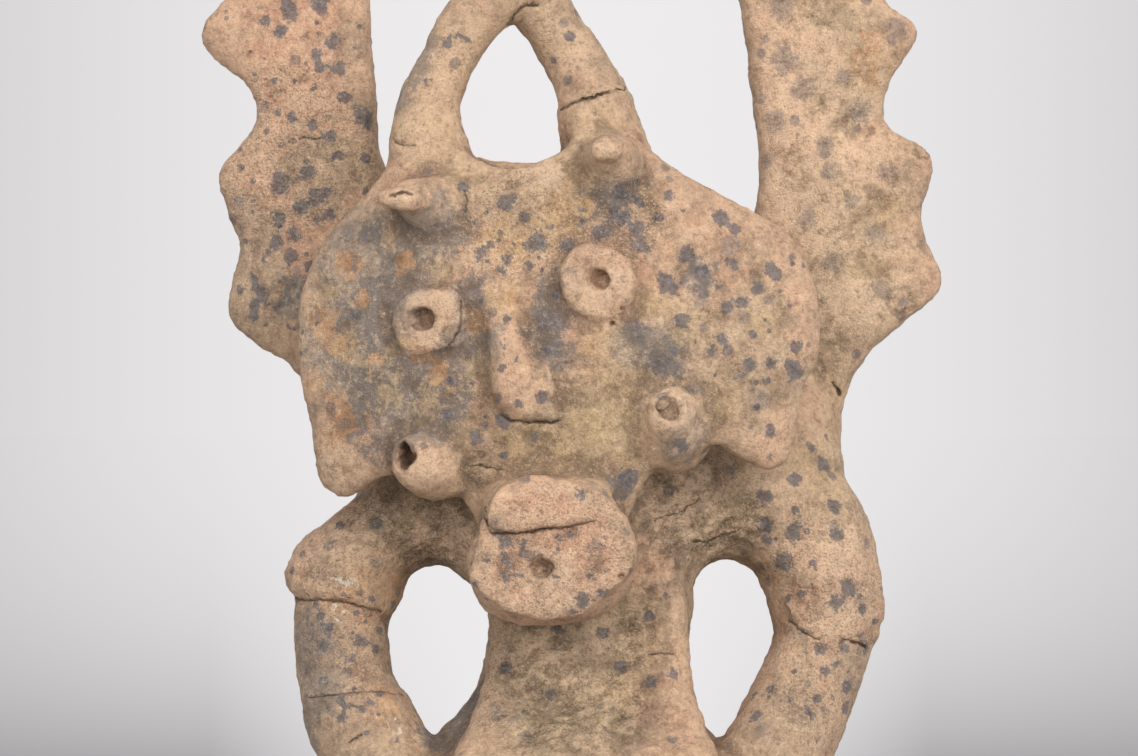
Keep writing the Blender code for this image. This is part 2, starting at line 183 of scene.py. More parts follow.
def ledge(height, *spots):
    """A lapped edge of a coil, so many millimetres proud, through (px, py, radius) places on the clay."""
    stations = []
    for px, py, radius in spots:
        place, facing = seen(px, py)
        stations.append((place + facing * (height - radius) / 1000, radius))
    pressed_on.append(roll(stations))


# Eyes: the figure's right one squared off, the left one round
RIGHT_EYE = (
    (394, 332), (396, 314), (405, 301), (420, 293), (440, 292), (457, 298), (460, 314), (459, 333),
    (452, 346), (434, 350), (414, 352), (400, 346),
)
LEFT_EYE = (
    (560, 283), (563, 264), (574, 250), (591, 244), (610, 246), (626, 257), (634, 274), (633, 293),
    (624, 309), (608, 319), (589, 318), (571, 306),
)
slab(RIGHT_EYE, -0.0556, 0.0, 9, 1.2, lean=-0.20)
slab(LEFT_EYE, -0.0650, -0.06, 9, 1.3)

# Nose: a pinched crest that widens to an undercut end and slopes away on the figure's left. Knobs:
# an almond lying aside and a blunt finger above, and a broad mound below. Each is a roll through
# (px, py, depth, radius) stations, the last two in millimetres
NOSE_CREST = (
    (488, 268, 46.0, 4.4), (492, 282, 50.2, 5.2), (497, 303, 54.4, 6.2), (505, 332, 57.2, 7.2),
    (511, 360, 58.4, 8.2), (517, 388, 59.0, 9.0), (520, 400, 58.4, 8.6),
)
NOSE_SLOPE = ((524, 362, 55.0, 8.6), (536, 386, 56.4, 8.8), (544, 402, 57.0, 7.0))
NOSE_END = ((516, 407, 60.0, 5.2), (536, 410, 59.4, 5.0), (556, 411, 57.6, 4.0))
ALMOND = (
    (378, 196, 57, 2.4), (388, 198, 59, 4.4), (401, 200, 60, 5.4), (414, 202, 58, 4.6),
    (423, 205, 54, 3.4),
)
ALMOND_ROOT = ((410, 205, 50, 7.0), (434, 212, 46, 8.2), (454, 217, 40, 8.0))
FINGER = ((596, 150, 64, 4.0), (607, 149, 66, 5.0), (619, 150, 63, 4.0))
FINGER_ROOT = ((607, 168, 46, 11.0), (607, 158, 54, 8.6), (607, 152, 60, 6.4))
MOUND = ((668, 428, 44, 19.0), (669, 427, 51, 17.4), (670, 425, 57, 14.6), (670, 421, 61, 11.0))
for stations in (NOSE_CREST, NOSE_SLOPE, NOSE_END, ALMOND, ALMOND_ROOT, FINGER, FINGER_ROOT, MOUND):
    pressed_on.append(roll([(at_depth(px, py, -depth / 1000), r) for px, py, depth, r in stations]))

# Mouth: a tongue-shaped jaw with a flat upper lip laid over its root
JAW = (
    (484, 520), (479, 536), (474, 556), (468, 578), (474, 592), (487, 604), (508, 614), (534, 621),
    (562, 620), (588, 611), (608, 597), (626, 583), (637, 566), (638, 548), (632, 530), (622, 512),
    (600, 500), (560, 496), (510, 500),
)
LIP = (
    (489, 521), (490, 505), (500, 489), (519, 482), (541, 478), (563, 479), (583, 484), (600, 491),
    (612, 499), (617, 507), (604, 514), (588, 520), (566, 524), (540, 527), (515, 530), (497, 529),
)
slab(JAW, -0.0740, 0.02, 14, 3.4)
slab(LIP, -0.0758, 0.12, 12, 1.2, lean=0.08)

# Laps where one coil ends over the next, as the height in millimetres and the places
LAPS = {
    "right elbow": (3.6, (305, 562, 4.0), (295, 573, 5.4), (295, 581, 5.6), (308, 587, 5.0), (326, 589, 4.2)),
    "right elbow's tip": (5.6, (301, 571, 3.2), (295, 576, 4.4), (295, 581, 4.8), (303, 586, 3.8)),
    "right elbow's slope": (1.6, (322, 530, 4.0), (308, 547, 6.0), (298, 562, 7.0), (297, 574, 7.0)),
    "under the right elbow": (
        2.0, (290, 586, 3.6), (308, 590, 4.0), (330, 591, 3.8), (352, 594, 3.4), (372, 601, 3.0),
        (388, 608, 2.4),
    ),
    "right wrist": (0.8, (302, 708, 2.4), (318, 705, 2.6), (345, 702, 2.6), (372, 700, 2.6), (398, 702, 2.4)),
    "left elbow": (
        1.3, (790, 606, 2.4), (797, 618, 3.0), (812, 629, 3.2), (830, 633, 3.4), (850, 633, 3.6),
        (872, 639, 3.6), (884, 637, 3.0),
    ),
    "left horn's collar": (
        1.2, (560, 118, 2.4), (572, 112, 2.8), (588, 105, 3.0), (604, 101, 3.0), (622, 96, 3.0),
        (633, 95, 2.8),
    ),
    "over the collar": (
        1.8, (563, 106, 2.4), (578, 100, 2.8), (596, 94, 2.8), (616, 90, 2.8), (632, 92, 3.2),
    ),
    "crown": (2.0, (476, 158, 2.4), (492, 168, 3.0), (512, 172, 3.2), (534, 171, 3.2), (552, 162, 2.6)),
    "left wing's tooth": (1.6, (899, 144, 3.0), (912, 147, 3.4), (926, 152, 3.4)),
    "right horn's root": (0.9, (388, 143, 2.2), (396, 149, 2.6), (406, 152, 2.2), (418, 150, 1.6)),
    "horns' meeting": (0.7, (505, 12, 2.4), (515, 4, 2.8), (526, -2, 2.6)),
    "cheek": (0.9, (637, 352, 2.6), (644, 356, 3.0), (650, 359, 2.6)),
    "boss": (0.8, (544, 736, 2.4), (556, 728, 2.8), (574, 720, 2.8), (592, 722, 2.8), (608, 736, 2.6)),
}
for lap in LAPS.values():
    ledge(*lap)

pick(clay)
for part in pressed_on:
    part.select_set(True)
bpy.ops.object.join()
worked(clay, "REMESH", mode="VOXEL", voxel_size=0.0012)
worked(clay, "SMOOTH", factor=0.5, iterations=3)


def of_points(kind):
    """A row for each of the clay's points: its place, "co", or the way it faces, "normal"."""
    flat = np.empty(len(clay.data.vertices) * 3)
    clay.data.vertices.foreach_get(kind, flat)
    return flat.reshape(-1, 3)


def near_marks(marks):
    """For each point, one at the middle of a (px, py, radius in pixels) mark and nought at its edge."""
    points = of_points("co")
    tone = np.full(len(points), -1.0)
    for px, py, radius in marks:
        middle = np.array(seen(px, py)[0])
        tone = np.maximum(tone, 1.0 - np.linalg.norm(points - middle, axis=1) / (radius * PIXEL))
    return tone


def keep_group(name, weights):
    """A vertex group of the clay with its weights kept to tenths."""
    group = clay.vertex_groups.new(name=name)
    tenths = np.clip(np.round(weights * 10), 0, 10)
    for step in range(1, 11):
        group.add(np.nonzero(tenths == step)[0].tolist(), step / 10, "REPLACE")


# Wiped joins at the nose and the knobs, then the hand's unevenness all over, and torn clay at the
# shoulders and throat, pulled out along the way the hand went
WIPED = (
    (500, 300, 30), (512, 330, 34), (525, 360, 36), (535, 385, 40), (560, 400, 22), (490, 270, 26),
    (303, 552, 26), (292, 568, 14), (668, 424, 80), (607, 176, 30), (442, 216, 26), (478, 590, 14),
    (500, 611, 14), (530, 619, 14), (565, 617, 14), (595, 606, 14), (625, 585, 14), (637, 560, 14),
    (635, 535, 14), (610, 505, 12),
)
keep_group("wiped", 2.5 * near_marks(WIPED))
worked(clay, "SMOOTH", factor=0.5, iterations=18, vertex_group="wiped")
DENTS = ((0.040, 0.0042), (0.014, 0.0018), (0.0050, 0.0011), (0.0022, 0.0008))
for index, (size, height) in enumerate(DENTS):
    dents = bpy.data.textures.new(f"dents_{index}", "CLOUDS")
    dents.noise_scale = size
    dents.noise_depth = 2
    worked(clay, "DISPLACE", texture=dents, texture_coords="GLOBAL", strength=height, mid_level=0.5)
TORN = [
    (712, 538, 36), (742, 524, 38), (672, 520, 44), (650, 490, 34), (430, 545, 40), (405, 515, 36),
    (690, 480, 34), (480, 470, 22), (640, 590, 34), (655, 560, 36), (455, 500, 30), (360, 510, 30),
    (800, 600, 26), (560, 728, 34), (590, 740, 34), (922, 150, 12), (900, 300, 18),
    (640, 640, 36), (540, 660, 60), (610, 700, 56),
]
keep_group("torn", 1.6 * near_marks(TORN))
DRAGGED_AT = math.radians(28)
pull = bpy.data.objects.new("pull", None)
bpy.context.scene.collection.objects.link(pull)
pull.rotation_euler = (0.0, -DRAGGED_AT, 0.0)
pull.scale = (4.0, 1.0, 1.0)
bpy.context.view_layer.update()
crumbs = bpy.data.textures.new("crumbs", "CLOUDS")
crumbs.noise_type = "HARD_NOISE"
crumbs.noise_scale = 0.0034
crumbs.noise_depth = 3
worked(
    clay, "DISPLACE", texture=crumbs, texture_coords="OBJECT", texture_coords_object=pull,
    strength=0.0042, mid_level=0.5, vertex_group="torn",
)
bpy.data.objects.remove(pull)

# The foot was cut level on the board the figure was built on
for point in clay.data.vertices:
    point.co.z = max(point.co.z, 0.0)


# Punched holes, the slit in the knob, and the cracks that opened along the joins in drying.

def hole(px, py, radius, depth, way, stretch=1.0, turn=0.0):
    """A tapered stick's hole of a radius and depth in millimetres, pushed in along the way's reverse."""
    place, _ = seen(px, py)
    way = Vector(way).normalized()
    bpy.ops.object.select_all(action="DESELECT")
    bpy.ops.mesh.primitive_cone_add(vertices=40, radius1=0.62, radius2=1.25, depth=2.0)
    made = edited(bpy.context.object, subdivide={"number_cuts": 3})
    lie = way.to_track_quat("Z", "Y").to_matrix().to_4x4() @ Matrix.Rotation(turn, 4, "Z")
    size = Matrix.Diagonal((radius / 1000, radius * stretch / 1000, depth / 1000, 1.0))
    made.data.transform(Matrix.Translation(place) @ lie @ size)
    rough = bpy.data.textures.new("rough", "CLOUDS")
    rough.noise_scale = 0.003
    worked(made, "DISPLACE", texture=rough, texture_coords="GLOBAL", strength=0.0014, mid_level=0.5)
    return made


chance = np.random.default_rng(7)
cracked = []


def crack(*spots):
    """A crooked crack through (px, py, half width in millimetres) places on the clay."""
    stations = []
    for (x0, y0, w0), (x1, y1, w1) in zip(spots, spots[1:]):
        for share in np.arange(0.0, 1.0, 3.0 / math.hypot(x1 - x0, y1 - y0)):
            stray = chance.normal(0.0, 0.7, 2)
            width = (w0 + (w1 - w0) * share) * chance.uniform(0.5, 1.1)
            px, py = x0 + (x1 - x0) * share + stray[0], y0 + (y1 - y0) * share + stray[1]
            place, facing = seen(px, py)
            stations.append((place - facing * width * 0.0005, width))
            cracked.append((px, py, width * 3.0 + 1.2))
    return roll(stations, smooth=False)


HOLES = {
    "right eye": (423, 319, 5.2, 5.4, (-0.35, -1.0, -0.10)),
    "left eye": (599, 280, 5.0, 4.4, (-0.35, -1.0, 0.0)),
    "right knob": (404, 456, 3.5, 11, (-0.25, -1.0, -0.05), 1.8),
    "jaw": (541, 568, 5.9, 5.4, (-0.15, -1.0, 0.05), 0.82),
    "left mound": (669, 408, 5.4, 3.6, (0.05, -1.0, 0.30), 1.25, 0.6),
    "left mound's rim": (661, 402, 3.4, 2.2, (-0.10, -1.0, 0.35)),
    "chip in the jaw": (622, 577, 1.5, 1.6, (0.1, -1.0, 0.0)),
    "chip in the eye": (622, 309, 1.2, 1.4, (0.0, -1.0, 0.0)),
    "chip under the eye": (612, 323, 1.2, 1.6, (0.0, -1.0, 0.0)),
}
CRACKS = {
    "almond's slit": ((389, 196, 0.6), (396, 194, 1.3), (405, 193, 1.5), (415, 195, 0.7)),
    "beside the right eye": (
        (461, 300, 0.4), (462, 314, 0.6), (460, 328, 0.6), (453, 341, 0.5), (446, 348, 0.4),
    ),
    "under the nose": ((500, 414, 0.6), (512, 421, 1.1), (530, 423, 1.3), (548, 423, 1.2), (561, 421, 0.6)),
    "under the lip": (
        (491, 533, 0.5), (508, 534, 0.9), (527, 532, 0.8), (545, 530, 0.9), (572, 527, 0.7), (598, 520, 0.4),
    ),
    "lip's right end": ((487, 506, 0.5), (485, 518, 0.9), (489, 529, 0.9)),
    "left horn's collar": (
        (560, 110, 0.6), (572, 104, 0.9), (586, 98, 1.0), (602, 94, 1.0), (620, 89, 0.9), (629, 89, 0.6),
    ),
    "right horn's root": ((388, 136, 0.4), (396, 143, 0.6), (404, 146, 0.5), (414, 145, 0.3)),
    "right wing": ((299, 139, 0.3), (306, 137, 0.6), (314, 140, 0.4), (322, 139, 0.3)),
    "left wing's root": ((833, 382, 0.5), (838, 391, 1.2), (842, 399, 0.9)),
    "right knob's root": ((467, 466, 0.3), (478, 466, 0.5), (488, 468, 0.5), (503, 470, 0.3)),
    "right elbow": (
        (287, 596, 0.6), (300, 600, 0.8), (320, 601, 0.7), (342, 602, 0.6), (365, 607, 0.5), (384, 613, 0.4),
    ),
    "right wrist": ((306, 698, 0.3), (330, 695, 0.5), (356, 692, 0.4), (384, 692, 0.4), (404, 695, 0.3)),
    "inner left elbow": ((790, 620, 0.5), (806, 634, 0.6), (822, 641, 0.6)),
    "outer left elbow": ((842, 640, 0.7), (856, 642, 1.1), (868, 648, 0.9)),
    "horns' meeting": ((506, 28, 0.7), (513, 18, 1.0), (519, 10, 1.1), (528, 6, 1.0), (540, 6, 0.8)),
    "throat": ((655, 520, 0.3), (680, 512, 0.5), (700, 498, 0.4)),
    "left shoulder": ((692, 542, 0.4), (708, 541, 0.8), (722, 535, 0.6), (738, 531, 0.4)),
    "brow": ((465, 190, 0.3), (467, 200, 0.5), (465, 212, 0.3)),
    "torso": ((648, 655, 0.3), (662, 653, 0.5), (676, 654, 0.4)),
    "right hand": ((350, 742, 0.5), (358, 736, 0.8), (366, 733, 0.4)),
}
cutters = [hole(*spot) for spot in HOLES.values()] + [crack(*spots) for spots in CRACKS.values()]
pick(cutters[0])
for cutter in cutters:
    cutter.select_set(True)
bpy.ops.object.join()
worked(clay, "BOOLEAN", operation="DIFFERENCE", solver="MANIFOLD", object=cutters[0])
bpy.data.objects.remove(cutters[0])

# The face and what is round it keep the finest skin, the plain stand and the back the coarsest, and
# the inside of the hollow coarser still
MOST_TRIANGLES = 190000
TRIANGLES_A_FACE = 2
spots, slants = of_points("co"), of_points("normal")
fine = np.clip(0.3 - 1.5 * slants[:, 1], 0, 0.9) * np.clip((spots[:, 2] - 0.14) / 0.03, 0, 1)
facing_in = (slants[:, :2] * spots[:, :2]).sum(1) < 0
inside = facing_in & (np.abs(spots[:, :2]).max(1) < 0.06) & (spots[:, 2] < 0.145)
keep_group("plain", np.where(inside, 1.0, 0.8 * (1 - fine)))
worked(
    clay, "DECIMATE", ratio=MOST_TRIANGLES / TRIANGLES_A_FACE / len(clay.data.polygons),
    vertex_group="plain", vertex_group_factor=0.00003,
)


# Surface of the clay: how each place is raised or hollow against its surroundings, near and wide, and
# where kiln minerals, smoke, rust and soil have coloured it, with painted shade, painted shadow and painted
# highlights.

def keep_tone(name, values):
    tone = clay.data.attributes.new(name, "FLOAT", "POINT")
    tone.data.foreach_set("value", np.asarray(values, dtype=np.float32))


places, facings = of_points("co"), of_points("normal")
ends = np.empty(len(clay.data.edges) * 2, dtype=np.int32)
clay.data.edges.foreach_get("vertices", ends)
ends = ends.reshape(-1, 2)
neighbours = np.bincount(ends.ravel(), minlength=len(places)).reshape(-1, 1)


def wiped(places, times):
    """The places after each has moved to the middle of its neighbours so many times."""
    for _ in range(times):
        total = np.empty_like(places)
        for axis in range(places.shape[1]):
            total[:, axis] = np.bincount(
                np.concatenate((ends[:, 0], ends[:, 1])),
                np.concatenate((places[ends[:, 1], axis], places[ends[:, 0], axis])), len(places),
            )
        places = total / neighbours
    return places


near = wiped(places, 4)
wide = wiped(near, 40)
keep_tone("edge_near", wiped(((places - near) * facings).sum(1, keepdims=True) * 1000, 1)[:, 0])
keep_tone("edge_wide", ((near - wide) * facings).sum(1) * 1000)


def dabs(name, *marks):
    keep_tone(name, near_marks(marks))


dabs("torn_skin", *TORN)
dabs(
    "gritty",
    (560, 680, 110), (330, 640, 90), (340, 540, 70), (840, 560, 90), (830, 680, 90), (700, 500, 80),
    (560, 560, 90), (440, 540, 60), (520, 220, 70), (620, 220, 60), (290, 150, 110),
)
dabs(
    "mineral",
    # Right wing
    (265, 21, 6), (290, 13, 10), (287, 5, 8), (280, 33, 7), (322, 3, 11), (333, 41, 8), (317, 54, 6),
    (319, 67, 6), (337, 68, 9), (273, 81, 4), (285, 79, 5), (294, 82, 3), (313, 87, 5), (345, 98, 7),
    (361, 113, 9), (365, 121, 8), (277, 113, 4), (292, 117, 6), (313, 125, 7), (329, 137, 7),
    (268, 132, 4), (337, 155, 6), (366, 159, 6), (240, 150, 4), (225, 160, 5), (307, 173, 9),
    (281, 183, 10), (315, 197, 9), (327, 193, 5), (365, 191, 5), (302, 207, 8), (278, 220, 8),
    (329, 213, 7), (318, 219, 4), (294, 235, 8), (276, 242, 8), (292, 257, 8), (265, 260, 5),
    (253, 275, 5), (257, 287, 6), (262, 297, 6), (255, 303, 6), (240, 290, 5), (235, 312, 5),
    (253, 315, 6), (277, 307, 5), (282, 317, 3), (288, 326, 4), (271, 277, 4), (245, 241, 4),
    # Brow
    (462, 187, 7), (507, 202, 10), (524, 217, 7), (535, 243, 11), (524, 216, 6), (477, 222, 5),
    (480, 255, 8), (491, 246, 5), (506, 261, 6), (501, 271, 6), (530, 266, 6), (568, 247, 10),
    (549, 226, 5), (582, 223, 6), (601, 233, 10), (636, 229, 9), (640, 247, 9), (618, 192, 7),
    (626, 196, 6), (639, 202, 6), (669, 196, 6), (650, 184, 5), (614, 214, 7), (624, 217, 7),
    (659, 218, 6), (682, 211, 4), (556, 268, 4),
    # Left side of the face
    (687, 254, 8), (702, 271, 7), (732, 264, 8), (722, 217, 9), (735, 229, 7), (669, 284, 12),
    (770, 269, 8), (776, 275, 7), (757, 287, 7), (726, 307, 7), (742, 303, 7), (682, 320, 8),
    (791, 304, 4), (672, 352, 6), (722, 339, 6), (697, 342, 4), (712, 352, 5), (750, 365, 7),
    (796, 345, 8), (790, 366, 8), (798, 371, 8), (792, 376, 7), (772, 363, 7), (771, 430, 7),
    (768, 459, 5), (734, 364, 3), (740, 378, 5), (750, 425, 3), (814, 348, 3), (809, 332, 2),
    (793, 263, 3), (803, 265, 3), (825, 465, 9), (812, 448, 6), (826, 437, 5), (795, 477, 6),
    (682, 445, 9), (628, 477, 11), (753, 335, 5),
    # Nose and right cheek
    (506, 319, 5), (504, 346, 5), (502, 369, 5), (517, 404, 5), (542, 397, 7), (545, 350, 5),
    (517, 359, 3), (446, 415, 7), (504, 420, 9), (476, 439, 8), (485, 424, 5), (504, 456, 5),
    (535, 437, 5), (450, 380, 5), (310, 266, 6), (300, 340, 4), (301, 352, 3), (481, 300, 5),
    # Jaw and torso
    (504, 542, 7), (522, 541, 4), (524, 553, 5), (505, 558, 5), (510, 566, 3), (485, 561, 4),
    (491, 574, 3), (477, 585, 5), (501, 576, 4), (509, 580, 4), (518, 574, 5), (531, 583, 4),
    (555, 577, 3), (592, 578, 5), (583, 601, 8), (603, 593, 6), (573, 612, 5), (573, 535, 5),
    (559, 537, 4), (557, 548, 4), (563, 558, 3), (580, 495, 6), (622, 478, 7), (632, 478, 7),
    (559, 629, 6), (602, 634, 8), (667, 596, 5), (649, 615, 6), (620, 666, 7), (650, 683, 7),
    (674, 674, 7), (672, 740, 6), (549, 694, 7), (505, 667, 7),
    # Arms, shoulders and horns
    (375, 524, 7), (340, 525, 6), (302, 554, 5), (292, 571, 4), (351, 565, 3), (373, 600, 6),
    (393, 605, 5), (320, 617, 5), (329, 629, 7), (356, 612, 4), (361, 641, 8), (322, 645, 7),
    (379, 630, 6), (377, 650, 5), (379, 694, 5), (370, 704, 6), (362, 709, 4), (350, 706, 4),
    (341, 700, 6), (342, 717, 7), (397, 740, 4), (316, 606, 4), (768, 459, 5), (825, 466, 9),
    (811, 447, 5), (793, 481, 7), (764, 495, 8), (835, 507, 8), (796, 512, 7), (836, 535, 8),
    (766, 526, 9), (793, 532, 10), (767, 539, 6), (783, 562, 11), (812, 562, 6), (848, 587, 9),
    (838, 601, 9), (822, 604, 4), (862, 608, 6), (876, 622, 5), (801, 594, 5), (788, 598, 5),
    (814, 586, 3), (819, 647, 7), (844, 648, 8), (866, 650, 8), (825, 671, 6), (835, 664, 4),
    (848, 686, 8), (818, 699, 5), (823, 708, 4), (807, 710, 5), (792, 700, 4), (771, 690, 7),
    (754, 694, 4), (756, 716, 6), (781, 724, 4), (812, 717, 4), (818, 741, 3), (846, 708, 7),
    (446, 44, 6), (458, 36, 5), (468, 40, 5), (570, 36, 6), (576, 12, 6), (555, 60, 5), (428, 82, 5),
)
dabs(
    "mineral_faint",
    # Left wing
    (857, 113, 13), (783, 60, 16), (803, 88, 15), (764, 38, 6), (897, 30, 14), (830, 172, 11),
    (887, 173, 12), (807, 220, 12), (875, 233, 14), (833, 263, 13), (775, 123, 14), (760, 97, 9),
    (843, 78, 11), (880, 290, 14), (903, 302, 7), (780, 5, 17), (922, 247, 8), (900, 317, 7),
    (825, 145, 12), (850, 200, 10), (765, 160, 9),
    # Cheeks
    (760, 397, 14), (744, 317, 9), (730, 245, 12), (640, 330, 14), (660, 365, 16), (700, 300, 10),
    (560, 352, 20), (548, 320, 18), (345, 235, 10), (690, 390, 10),
    # Jaw, torso and arms
    (593, 548, 11), (627, 531, 6), (607, 495, 8), (499, 712, 11), (515, 718, 8), (640, 745, 6),
    (613, 709, 6), (376, 562, 8), (351, 660, 7), (804, 633, 9), (759, 730, 10), (495, 523, 8),
    (688, 460, 10),
)
dabs(
    "smoke",
    (352, 255, 52), (385, 285, 62), (345, 330, 48), (380, 370, 66), (345, 415, 46), (430, 395, 60),
    (465, 345, 42), (470, 300, 30), (400, 425, 46), (545, 335, 26), (560, 362, 12),
    (425, 232, 46), (560, 300, 30), (300, 300, 30), (312, 640, 34), (318, 690, 30), (307, 730, 26),
    (470, 705, 34), (450, 740, 30), (690, 440, 30), (640, 345, 34), (684, 450, 16), (425, 48, 20),
    (412, 74, 18), (401, 100, 16), (497, 531, 9), (620, 487, 16), (305, 655, 26),
    (665, 350, 30), (700, 280, 24), (590, 205, 24), (620, 200, 24),
)
dabs(
    "rust",
    (325, 325, 26), (338, 410, 24), (333, 440, 22), (405, 262, 15), (363, 300, 12), (377, 362, 12),
    (415, 350, 22), (440, 372, 18), (312, 385, 16), (500, 300, 20), (480, 320, 16), (350, 265, 20),
    (575, 300, 20), (340, 345, 16), (440, 310, 20), (560, 215, 36), (515, 240, 34), (590, 350, 12),
    (345, 600, 20), (395, 595, 20), (360, 575, 22), (385, 700, 24), (880, 640, 18), (870, 60, 30),
)
# Pinker clay; the marks along the face's left rim also paint its lit edge, a painted highlight
dabs(
    "warm",
    (800, 285, 30), (812, 340, 28), (805, 400, 26), (790, 440, 30), (770, 455, 26), (785, 245, 24),
    (590, 282, 46), (426, 320, 40), (510, 330, 24), (520, 385, 28), (535, 505, 60), (555, 570, 80),
    (415, 470, 40), (607, 150, 30), (400, 198, 36), (310, 250, 34), (296, 330, 16), (300, 420, 22),
    (200, 45, 50), (290, 60, 90), (235, 185, 50), (640, 560, 30), (850, 600, 60), (330, 575, 60),
    (505, 320, 22), (512, 350, 24), (518, 385, 24), (500, 300, 18), (425, 318, 44), (598, 280, 50),
    (770, 60, 50), (775, 130, 40), (900, 45, 30),
    (930, 160, 24), (935, 280, 24), (880, 150, 34), (330, 222, 14), (355, 202, 14), (303, 290, 14),
    (303, 380, 16), (308, 460, 18), (330, 492, 14),
)
dabs(
    "cream",
    (480, 110, 60), (430, 130, 50), (545, 175, 60), (480, 180, 50), (330, 480, 40), (600, 420, 46),
    (640, 330, 50), (830, 60, 80), (830, 160, 80), (850, 230, 60), (870, 290, 60), (560, 640, 60),
    (590, 120, 40), (830, 480, 60), (570, 720, 60), (460, 60, 50),
)
# Soil, with painted shadow under the face, nose, knobs and jaw and on the wings behind the face
dabs(
    "soil_and_shadow",
    (430, 520, 50), (470, 500, 40), (390, 545, 40), (580, 440, 46), (540, 450, 46), (640, 470, 40),
    (840, 400, 50),
    (815, 470, 50), (400, 240, 34), (590, 185, 26), (640, 190, 26), (540, 425, 24), (740, 520, 50),
    (500, 620, 46), (620, 630, 46), (760, 560, 40), (250, 340, 50), (385, 60, 40), (395, 610, 30),
)
# Painted shade where less light falls: lower on the arms and wings, beside the face, under the nose and knobs
dabs(
    "painted_shade",
    (862, 600, 24), (850, 670, 34), (800, 705, 40), (760, 740, 50),
    (860, 720, 40), (320, 640, 60), (320, 700, 60), (380, 690, 50), (330, 560, 44), (370, 520, 40),
    (360, 740, 60), (240, 330, 40), (270, 300, 44), (255, 260, 40), (240, 210, 36), (560, 425, 40),
    (365, 220, 34), (350, 40, 26), (365, 110, 26), (640, 170, 24),
)
dabs(
    "crust",
    (515, 240, 40), (500, 300, 26), (480, 370, 26), (545, 225, 36), (570, 215, 30), (440, 270, 22),
    (350, 350, 24),
    (330, 290, 18), (390, 390, 26), (430, 400, 24), (600, 345, 30), (620, 390, 36), (590, 420, 30),
    (560, 440, 26),
    (650, 300, 26), (690, 330, 26), (720, 400, 26), (520, 440, 26), (395, 350, 18), (470, 430, 24),
    (760, 320, 24),
    (375, 590, 26), (345, 560, 20), (700, 520, 24), (560, 660, 30), (620, 690, 30), (480, 120, 24),
    (440, 130, 24),
    (885, 200, 26), (870, 280, 26), (890, 60, 22),
)
# Pale clay, with painted highlights on the knobs' and nubs' tips and painted light on the throat and under
# the jaw
dabs(
    "pale",
    (425, 470, 34), (400, 199, 20), (607, 150, 18), (418, 338, 16),
    (668, 400, 26), (690, 415, 20), (800, 60, 60),
    (820, 165, 60), (830, 235, 50), (775, 180, 40), (880, 290, 30), (690, 470, 30), (700, 510, 46),
    (560, 650, 50), (650, 520, 40), (545, 170, 30), (590, 300, 30), (430, 540, 40), (350, 540, 40),
    (442, 308, 26), (420, 300, 16), (580, 290, 24), (614, 285, 22), (692, 432, 24), (860, 170, 50),
    (850, 300, 44),
    (560, 590, 40), (425, 332, 28), (330, 465, 20), (440, 470, 24), (790, 60, 50), (760, 540, 30),
    (820, 200, 54),
    (785, 130, 44), (840, 100, 44), (430, 478, 22), (690, 425, 26), (560, 655, 44), (560, 372, 20),
    (450, 530, 34), (840, 560, 40), (840, 610, 34), (770, 500, 34), (600, 640, 34), (505, 650, 30),
)
dabs(
    "speckled",
    (500, 560, 44), (590, 592, 40), (350, 715, 44), (335, 630, 44), (840, 600, 56), (825, 690, 56),
    (780, 540, 44), (500, 230, 60), (620, 200, 44), (745, 345, 80), (300, 200, 90), (260, 290, 60),
    (290, 60, 80), (470, 410, 56), (310, 340, 24), (760, 430, 36), (760, 720, 50), (560, 560, 50),
)
# Painted glints: white spots where the glossy elbow, wrist and wing catch the lamps
dabs(
    "painted_glints",
    (338, 580, 5), (348, 583, 5), (354, 580, 3), (337, 603, 5), (344, 612, 4), (336, 618, 3),
    (379, 718, 3),
    (388, 726, 3), (401, 730, 3), (395, 718, 2), (327, 681, 3), (407, 724, 2), (372, 712, 2),
    (271, 35, 3),
)
# Where the cracks run, to be painted dark inside as painted shade
dabs("cracked", *cracked)


class Tone:
    """A socket of a material; sums of tones add its Math nodes."""

    def __init__(self, tree, socket=None):
        self.tree, self.socket = tree, socket

    def node(self, kind, settings=None, sockets=None, output=0):
        made = self.tree.nodes.new(kind)
        for name, value in (settings or {}).items():
            setattr(made, name, value)
        for key, value in (sockets or {}).items():
            if isinstance(value, Tone):
                self.tree.links.new(value.socket, made.inputs[key])
            else:
                made.inputs[key].default_value = value
        return Tone(self.tree, made.outputs[output])

    def maths(self, operation, first, second=0.0):
        return self.node("ShaderNodeMath", {"operation": operation}, {0: first, 1: second})

    def __add__(self, other):
        return self.maths("ADD", self, other)

    __radd__ = __add__

    def __sub__(self, other):
        return self.maths("SUBTRACT", self, other)

    def __rsub__(self, other):
        return self.maths("SUBTRACT", other, self)

    def __mul__(self, other):
        return self.maths("MULTIPLY", self, other)

    __rmul__ = __mul__

    def __or__(self, other):
        return self.maths("MAXIMUM", self, other)

    def between(self, low, high):
        """Nought at the low value and one at the high one, easing at both."""
        return self.node(
            "ShaderNodeMapRange", {"interpolation_type": "SMOOTHSTEP"},
            {"Value": self, "From Min": low, "From Max": high},
        )

    def over(self, first, second):
        """The first colour where the tone is nought and the second where it is one."""
        return self.node("ShaderNodeMix", {"data_type": "RGBA"}, {0: self, 6: first, 7: second}, 2)


def shade(red, green, blue):
    """A colour from its display values out of 255."""
    linear = [
        value / 255 / 12.92 if value <= 10 else ((value / 255 + 0.055) / 1.055) ** 2.4
        for value in (red, green, blue)
    ]
    return (*linear, 1.0)


fired = bpy.data.materials.new("fired_clay")
fired.use_nodes = True
tree = fired.node_tree
skin = tree.nodes["Principled BSDF"]
start = Tone(tree)
on_clay = start.node("ShaderNodeTexCoord", output=3)


